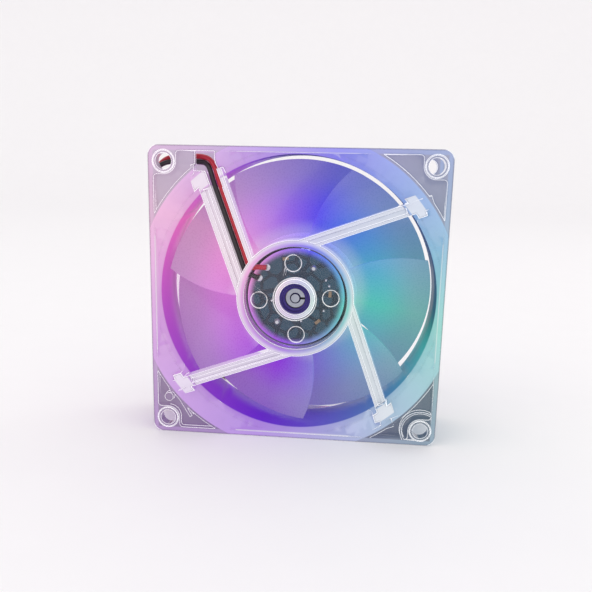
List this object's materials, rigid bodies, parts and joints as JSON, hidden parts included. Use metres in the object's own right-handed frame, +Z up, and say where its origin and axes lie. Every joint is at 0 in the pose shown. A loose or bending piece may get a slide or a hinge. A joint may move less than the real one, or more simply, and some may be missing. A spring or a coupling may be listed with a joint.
{
  "type": "case fan",
  "caption": "Clear square axial fan with a frosted rotor, coloured lamps round its motor, open corner screw holes and a two-wire lead",
  "frame": {"origin": "middle of the frame's lower edge, where the fan stands", "axes": "+X right and +Z up as seen from the strut side, which faces -Y; the spin axis runs along Y at a height of 40 mm"},
  "size_m": [0.0829, 0.0554, 0.08],
  "materials": {
    "clear_plastic": "clear moulded polycarbonate, glossy",
    "frosted_plastic": "translucent, lightly frosted",
    "steel": "drawn and laminated sheet steel",
    "bright_steel": "ground and polished",
    "magnet": "bonded ferrite, matt",
    "brass": "turned",
    "bronze": "sintered, oiled",
    "copper": "enamelled copper wire",
    "solder": "bright solder",
    "board": "solder mask over glass fibre board",
    "board_parts": "ceramic",
    "black_nylon": "moulded",
    "white_nylon": "moulded",
    "lamp_red": "lit lamp",
    "lamp_blue": "lit lamp",
    "lamp_green": "lit lamp",
    "lamp_violet": "lit lamp",
    "red_pvc": "wire insulation",
    "black_pvc": "wire insulation",
    "dark_tube": "dark anodised"
  },
  "bodies": {
    "housing": {"frame": "clear_plastic", "bearing_tube": "dark_tube", "sleeve_bearing": "bronze", "thrust_washer": "black_nylon", "stator_core": "steel", "upper_insulator": "white_nylon", "lower_insulator": "white_nylon", "coil_windings": "copper", "terminal_pins": "bright_steel", "motor_board": "board", "hall_sensor": "black_nylon", "driver_chip": "black_nylon", "chip_parts": "board_parts", "solder_joints": "solder", "led_red": "lamp_red", "led_blue": "lamp_blue", "led_green": "lamp_green", "led_violet": "lamp_violet", "red_wire": "red_pvc", "black_wire": "black_pvc", "lead_drop": "black_pvc", "lead_hank": "black_pvc", "lead_tail": "black_pvc", "hank_tie": "black_pvc", "plug_housing": "black_nylon", "plug_contacts": "brass"},
    "rotor": {"impeller": "frosted_plastic", "rotor_yoke": "steel", "magnet_ring": "magnet", "shaft_bush": "brass", "shaft": "bright_steel", "oil_slinger": "black_nylon", "retaining_clip": "bright_steel"}
  },
  "joints": [
    {"name": "spin", "type": "hinge", "parent": "housing", "child": "rotor", "pos_m": [0, 0, 0.04], "axis": [0, -1, 0], "continuous": true}
  ]
}
